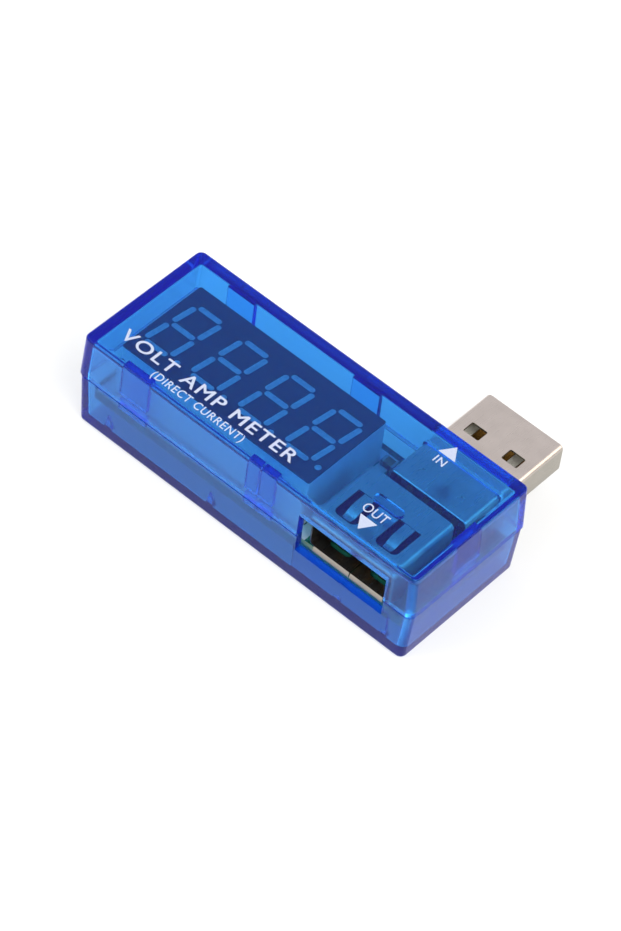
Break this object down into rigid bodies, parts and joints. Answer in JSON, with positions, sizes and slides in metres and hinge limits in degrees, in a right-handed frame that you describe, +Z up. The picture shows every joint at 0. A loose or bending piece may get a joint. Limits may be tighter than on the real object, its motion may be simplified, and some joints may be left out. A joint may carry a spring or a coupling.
{
  "type": "usb power meter",
  "caption": "Small clear-cased meter that plugs into a USB-A port, passes power through to a USB-A socket and shows voltage and current on a four-digit display.",
  "frame": {"origin": "centre of the case's flat underside", "axes": "+X along the case in the display's reading direction, +Y out along the USB plug, +Z up through the display"},
  "size_m": [0.0536, 0.0321, 0.0147],
  "materials": {
    "blue_clear_plastic": "clear blue, glossy outside",
    "board_laminate": "green solder mask",
    "display_plastic": "smooth dark face",
    "milky_resin": "milky, unlit",
    "tinned_wire": "tinned",
    "nickel_plate": "satin nickel plate",
    "gold_plate": "thin gold plate",
    "grey_insulator": "matte",
    "black_insulator": "matte",
    "chip_epoxy": "matte",
    "tan_ceramic": "matte",
    "resistor_glaze": "glazed"
  },
  "bodies": {
    "meter": {"top_shell": "blue_clear_plastic", "bottom_shell": "blue_clear_plastic", "circuit_board": "board_laminate", "display_housing": "display_plastic", "display_resin": "milky_resin", "display_pin_1": "tinned_wire", "display_pin_2": "tinned_wire", "display_pin_3": "tinned_wire", "display_pin_4": "tinned_wire", "display_pin_5": "tinned_wire", "display_pin_6": "tinned_wire", "display_pin_7": "tinned_wire", "display_pin_8": "tinned_wire", "display_pin_9": "tinned_wire", "display_pin_10": "tinned_wire", "display_pin_11": "tinned_wire", "display_pin_12": "tinned_wire", "plug_shell": "nickel_plate", "plug_insulator": "grey_insulator", "plug_contact_1": "gold_plate", "plug_contact_2": "gold_plate", "plug_contact_3": "gold_plate", "plug_contact_4": "gold_plate", "socket_shell": "nickel_plate", "socket_insulator": "black_insulator", "socket_contact_tail_1": "gold_plate", "socket_contact_tail_2": "gold_plate", "socket_contact_tail_3": "gold_plate", "socket_contact_tail_4": "gold_plate", "microcontroller": "chip_epoxy", "amplifier": "chip_epoxy", "voltage_regulator": "chip_epoxy", "shunt_resistor": "resistor_glaze", "capacitor_1": "tan_ceramic", "capacitor_2": "tan_ceramic", "capacitor_3": "tan_ceramic", "capacitor_4": "tan_ceramic", "resistor_1": "resistor_glaze", "resistor_2": "resistor_glaze", "resistor_3": "resistor_glaze", "resistor_4": "resistor_glaze", "resistor_5": "resistor_glaze", "resistor_6": "resistor_glaze"},
    "contact_leaf_1": {"socket_contact_leaf_1": "gold_plate"},
    "contact_leaf_2": {"socket_contact_leaf_2": "gold_plate"},
    "contact_leaf_3": {"socket_contact_leaf_3": "gold_plate"},
    "contact_leaf_4": {"socket_contact_leaf_4": "gold_plate"},
    "latch_top_left": {"latch_spring_top_left": "nickel_plate"},
    "latch_top_right": {"latch_spring_top_right": "nickel_plate"},
    "latch_bottom_left": {"latch_spring_bottom_left": "nickel_plate"},
    "latch_bottom_right": {"latch_spring_bottom_right": "nickel_plate"}
  },
  "joints": [
    {"name": "contact_leaf_1_flex", "type": "hinge", "parent": "meter", "child": "contact_leaf_1", "pos_m": [0.0127, -0.0015, 0.00945], "axis": [-1, 0, 0], "range_deg": [0, 4], "stiffness_Nm_per_rad": 0.02},
    {"name": "contact_leaf_2_flex", "type": "hinge", "parent": "meter", "child": "contact_leaf_2", "pos_m": [0.0152, -0.0015, 0.00945], "axis": [-1, 0, 0], "range_deg": [0, 4], "stiffness_Nm_per_rad": 0.02},
    {"name": "contact_leaf_3_flex", "type": "hinge", "parent": "meter", "child": "contact_leaf_3", "pos_m": [0.0172, -0.0015, 0.00945], "axis": [-1, 0, 0], "range_deg": [0, 4], "stiffness_Nm_per_rad": 0.02},
    {"name": "contact_leaf_4_flex", "type": "hinge", "parent": "meter", "child": "contact_leaf_4", "pos_m": [0.0197, -0.0015, 0.00945], "axis": [-1, 0, 0], "range_deg": [0, 4], "stiffness_Nm_per_rad": 0.02},
    {"name": "latch_top_left_flex", "type": "hinge", "parent": "meter", "child": "latch_top_left", "pos_m": [0.01305, -0.0028, 0.01155], "axis": [-1, 0, 0], "range_deg": [0, 5], "stiffness_Nm_per_rad": 0.035},
    {"name": "latch_top_right_flex", "type": "hinge", "parent": "meter", "child": "latch_top_right", "pos_m": [0.01935, -0.0028, 0.01155], "axis": [-1, 0, 0], "range_deg": [0, 5], "stiffness_Nm_per_rad": 0.035},
    {"name": "latch_bottom_left_flex", "type": "hinge", "parent": "meter", "child": "latch_bottom_left", "pos_m": [0.01305, -0.0028, 0.00615], "axis": [1, 0, 0], "range_deg": [0, 3], "stiffness_Nm_per_rad": 0.035},
    {"name": "latch_bottom_right_flex", "type": "hinge", "parent": "meter", "child": "latch_bottom_right", "pos_m": [0.01935, -0.0028, 0.00615], "axis": [1, 0, 0], "range_deg": [0, 3], "stiffness_Nm_per_rad": 0.035}
  ]
}
